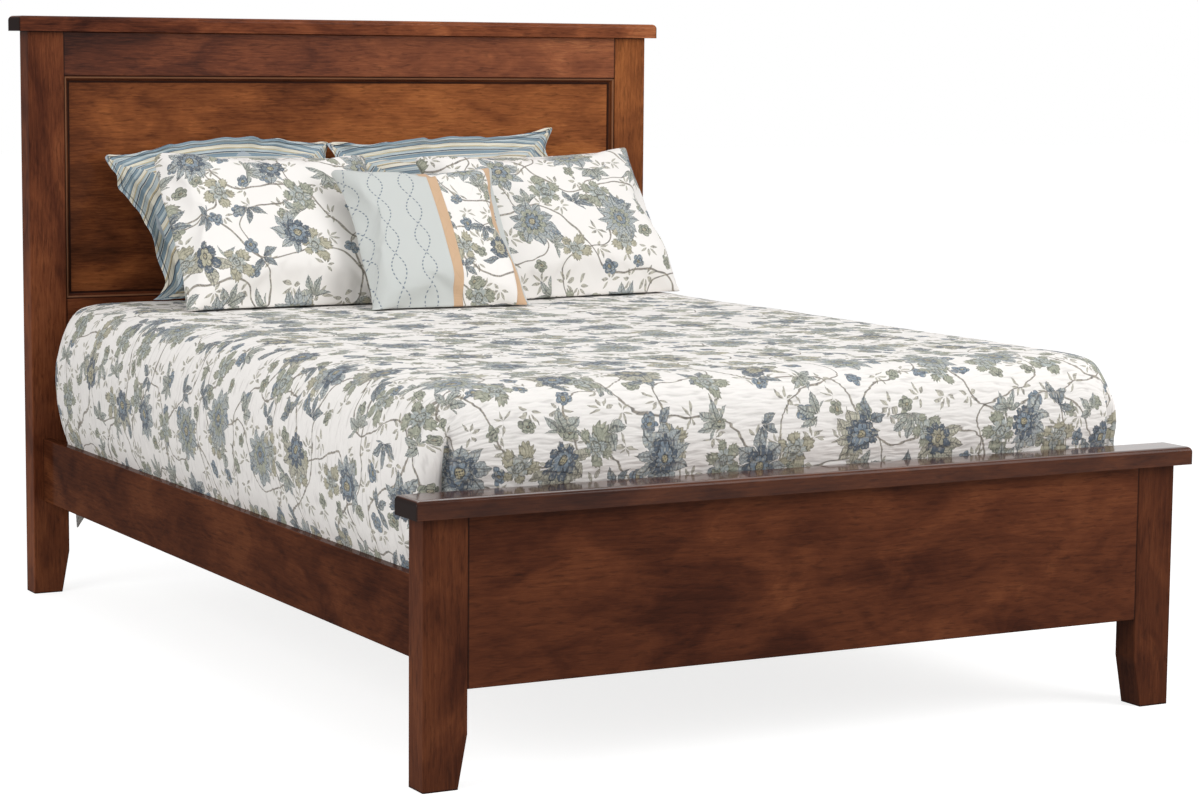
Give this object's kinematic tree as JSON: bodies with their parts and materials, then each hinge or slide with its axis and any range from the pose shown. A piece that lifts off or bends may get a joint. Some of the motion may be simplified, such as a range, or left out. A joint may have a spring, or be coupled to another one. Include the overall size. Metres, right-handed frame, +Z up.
{
  "type": "panel bed",
  "caption": "Wooden panel bed with a framed headboard, low flat footboard, hooked side rails, slats and screwed middle legs, dressed with a quilted coverlet and pillows.",
  "frame": {"origin": "middle of the bed's bounding box, on the floor", "axes": "+Z up; +Y from the footboard to the headboard; +X to the right for someone who stands at the foot and looks at the headboard"},
  "size_m": [1.684, 2.233, 1.351],
  "materials": {
    "stained_cherry": "dark reddish-brown stain under satin varnish",
    "stained_cherry_panel": "reddish-brown stain under satin varnish, a little lighter",
    "plain_pine": "planed, unfinished",
    "beech_dowel": "turned, unfinished",
    "plate_steel": "zinc-plated strip",
    "zinc_steel": "zinc-plated",
    "glide_steel": "zinc-plated, ribbed foot",
    "ticking": "woven ticking",
    "quilted_cotton": "quilted cotton with a printed vine pattern",
    "printed_cotton": "smooth cotton with a printed vine pattern",
    "striped_cotton": "striped cotton, blue and cream",
    "pieced_cotton": "pale grey cotton, two tan bands and a printed end"
  },
  "bodies": {
    "bed": {"accent_pillow": "pieced_cotton", "box_spring": "ticking", "cleat_left": "plain_pine", "cleat_right": "plain_pine", "cleat_screws": "zinc_steel", "coverlet": "quilted_cotton", "floral_sham_left": "printed_cotton", "floral_sham_right": "printed_cotton", "footboard_cap": "stained_cherry", "footboard_cap_dowels": "beech_dowel", "footboard_left_post": "stained_cherry", "footboard_panel": "stained_cherry", "footboard_right_post": "stained_cherry", "headboard_cap": "stained_cherry", "headboard_cap_dowels": "beech_dowel", "headboard_left_post": "stained_cherry", "headboard_low_rail": "stained_cherry", "headboard_panel": "stained_cherry_panel", "headboard_right_post": "stained_cherry", "headboard_top_rail": "stained_cherry", "hook_plate_foot_left": "plate_steel", "hook_plate_foot_right": "plate_steel", "hook_plate_head_left": "plate_steel", "hook_plate_head_right": "plate_steel", "hook_plate_screws": "zinc_steel", "leg_screws": "zinc_steel", "mattress": "ticking", "middle_leg_1": "plain_pine", "middle_leg_2": "plain_pine", "panel_moulding_bottom": "stained_cherry_panel", "panel_moulding_left": "stained_cherry_panel", "panel_moulding_right": "stained_cherry_panel", "panel_moulding_top": "stained_cherry_panel", "side_rail_left": "stained_cherry", "side_rail_right": "stained_cherry", "slat_1": "plain_pine", "slat_2": "plain_pine", "slat_3": "plain_pine", "slat_4": "plain_pine", "slat_5": "plain_pine", "slat_6": "plain_pine", "slat_screws": "zinc_steel", "slot_plate_foot_left": "plate_steel", "slot_plate_foot_right": "plate_steel", "slot_plate_head_left": "plate_steel", "slot_plate_head_right": "plate_steel", "slot_plate_screws": "zinc_steel", "striped_sham_left": "striped_cotton", "striped_sham_right": "striped_cotton", "tee_nut_1": "zinc_steel", "tee_nut_2": "zinc_steel"},
    "glide_1": {"glide_1": "glide_steel"},
    "glide_2": {"glide_2": "glide_steel"}
  },
  "joints": [
    {"name": "glide_1_thread", "type": "slide", "parent": "bed", "child": "glide_1", "axis": [0, 0, 1], "range_m": [-0.02, 0.015]},
    {"name": "glide_2_thread", "type": "slide", "parent": "bed", "child": "glide_2", "axis": [0, 0, 1], "range_m": [-0.02, 0.015]}
  ]
}
